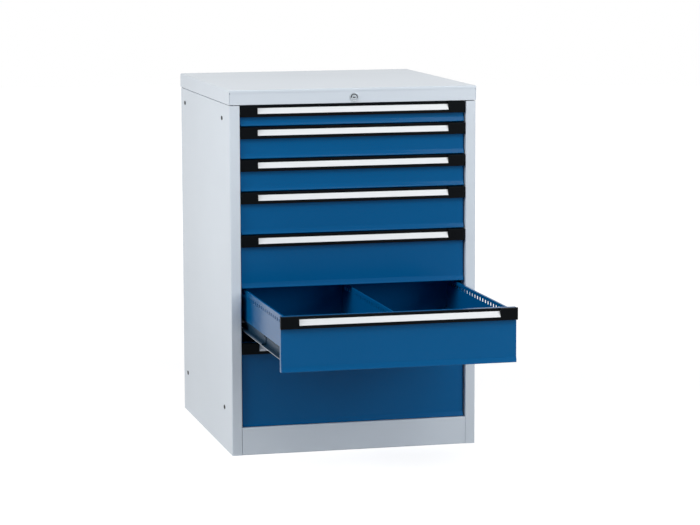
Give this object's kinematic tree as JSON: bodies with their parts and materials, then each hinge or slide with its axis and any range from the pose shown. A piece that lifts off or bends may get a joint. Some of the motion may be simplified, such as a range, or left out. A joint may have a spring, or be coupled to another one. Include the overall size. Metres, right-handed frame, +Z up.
{
  "type": "drawer cabinet",
  "caption": "Free-standing steel drawer cabinet with telescopic drawers, blue fronts, black grip strips with labels and a central lock; one drawer stands open.",
  "frame": {"origin": "on the floor, at the middle of the cabinet's footprint, on the flat underside of the bottom panel", "axes": "+Z up; the drawers open towards -Y; +X to the right seen from the front"},
  "size_m": [0.705, 1.235, 1.019],
  "materials": {
    "body_paint": "satin light grey paint",
    "front_paint": "satin blue paint",
    "grip_plastic": "satin black",
    "label": "plain white strip",
    "zinc": "bright zinc",
    "lock_chrome": "polished"
  },
  "bodies": {
    "cabinet": {"side_left": "body_paint", "side_right": "body_paint", "plinth": "body_paint", "bottom_panel": "body_paint", "back_panel": "body_paint", "cover": "body_paint", "top_rail_front": "body_paint", "top_rail_rear": "body_paint", "runners_left": "zinc", "runners_right": "zinc", "lock_body": "lock_chrome"},
    "drawer_1": {"front_1": "front_paint", "grip_1": "grip_plastic", "label_1": "label", "tray_1": "front_paint"},
    "middle_rails_1": {"slide_left_1": "zinc", "slide_right_1": "zinc"},
    "drawer_2": {"front_2": "front_paint", "grip_2": "grip_plastic", "label_2": "label", "tray_2": "front_paint"},
    "middle_rails_2": {"slide_left_2": "zinc", "slide_right_2": "zinc"},
    "drawer_3": {"front_3": "front_paint", "grip_3": "grip_plastic", "label_3": "label", "tray_3": "front_paint"},
    "middle_rails_3": {"slide_left_3": "zinc", "slide_right_3": "zinc"},
    "drawer_4": {"front_4": "front_paint", "grip_4": "grip_plastic", "label_4": "label", "tray_4": "front_paint"},
    "middle_rails_4": {"slide_left_4": "zinc", "slide_right_4": "zinc"},
    "drawer_5": {"front_5": "front_paint", "grip_5": "grip_plastic", "label_5": "label", "tray_5": "front_paint"},
    "middle_rails_5": {"slide_left_5": "zinc", "slide_right_5": "zinc"},
    "drawer_6": {"front_6": "front_paint", "grip_6": "grip_plastic", "label_6": "label", "tray_6": "front_paint", "divider": "front_paint"},
    "middle_rails_6": {"slide_left_6": "zinc", "slide_right_6": "zinc"},
    "drawer_7": {"front_7": "front_paint", "grip_7": "grip_plastic", "label_7": "label", "tray_7": "front_paint"},
    "middle_rails_7": {"slide_left_7": "zinc", "slide_right_7": "zinc"},
    "lock": {"lock_plug": "lock_chrome", "lock_rod": "zinc"},
    "locking_bar": {"locking_bar": "zinc"}
  },
  "joints": [
    {"name": "drawer_1_slide", "type": "slide", "parent": "cabinet", "child": "drawer_1", "axis": [0, -1, 0], "range_m": [0, 0.6]},
    {"name": "middle_rails_1_slide", "type": "slide", "parent": "cabinet", "child": "middle_rails_1", "axis": [0, -1, 0], "range_m": [0, 0.3]},
    {"name": "drawer_2_slide", "type": "slide", "parent": "cabinet", "child": "drawer_2", "axis": [0, -1, 0], "range_m": [0, 0.6]},
    {"name": "middle_rails_2_slide", "type": "slide", "parent": "cabinet", "child": "middle_rails_2", "axis": [0, -1, 0], "range_m": [0, 0.3]},
    {"name": "drawer_3_slide", "type": "slide", "parent": "cabinet", "child": "drawer_3", "axis": [0, -1, 0], "range_m": [0, 0.6]},
    {"name": "middle_rails_3_slide", "type": "slide", "parent": "cabinet", "child": "middle_rails_3", "axis": [0, -1, 0], "range_m": [0, 0.3]},
    {"name": "drawer_4_slide", "type": "slide", "parent": "cabinet", "child": "drawer_4", "axis": [0, -1, 0], "range_m": [0, 0.6]},
    {"name": "middle_rails_4_slide", "type": "slide", "parent": "cabinet", "child": "middle_rails_4", "axis": [0, -1, 0], "range_m": [0, 0.3]},
    {"name": "drawer_5_slide", "type": "slide", "parent": "cabinet", "child": "drawer_5", "axis": [0, -1, 0], "range_m": [0, 0.6]},
    {"name": "middle_rails_5_slide", "type": "slide", "parent": "cabinet", "child": "middle_rails_5", "axis": [0, -1, 0], "range_m": [0, 0.3]},
    {"name": "drawer_6_slide", "type": "slide", "parent": "cabinet", "child": "drawer_6", "axis": [0, -1, 0], "range_m": [-0.5, 0.1]},
    {"name": "middle_rails_6_slide", "type": "slide", "parent": "cabinet", "child": "middle_rails_6", "axis": [0, -1, 0], "range_m": [-0.25, 0.05]},
    {"name": "drawer_7_slide", "type": "slide", "parent": "cabinet", "child": "drawer_7", "axis": [0, -1, 0], "range_m": [0, 0.6]},
    {"name": "middle_rails_7_slide", "type": "slide", "parent": "cabinet", "child": "middle_rails_7", "axis": [0, -1, 0], "range_m": [0, 0.3]},
    {"name": "lock_turn", "type": "hinge", "parent": "cabinet", "child": "lock", "pos_m": [0, -0.34, 0.993], "axis": [0, 1, 0], "range_deg": [0, 90]},
    {"name": "locking_bar_lift", "type": "slide", "parent": "cabinet", "child": "locking_bar", "axis": [0, 0, 1], "range_m": [0, 0.008]}
  ],
  "couplings": [
    {"joint": "middle_rails_1_slide", "follows": "drawer_1_slide", "ratio": 0.5},
    {"joint": "middle_rails_2_slide", "follows": "drawer_2_slide", "ratio": 0.5},
    {"joint": "middle_rails_3_slide", "follows": "drawer_3_slide", "ratio": 0.5},
    {"joint": "middle_rails_4_slide", "follows": "drawer_4_slide", "ratio": 0.5},
    {"joint": "middle_rails_5_slide", "follows": "drawer_5_slide", "ratio": 0.5},
    {"joint": "middle_rails_6_slide", "follows": "drawer_6_slide", "ratio": 0.5},
    {"joint": "middle_rails_7_slide", "follows": "drawer_7_slide", "ratio": 0.5},
    {"joint": "lock_turn", "follows": "locking_bar_lift", "rad_per_m": 196.3}
  ]
}
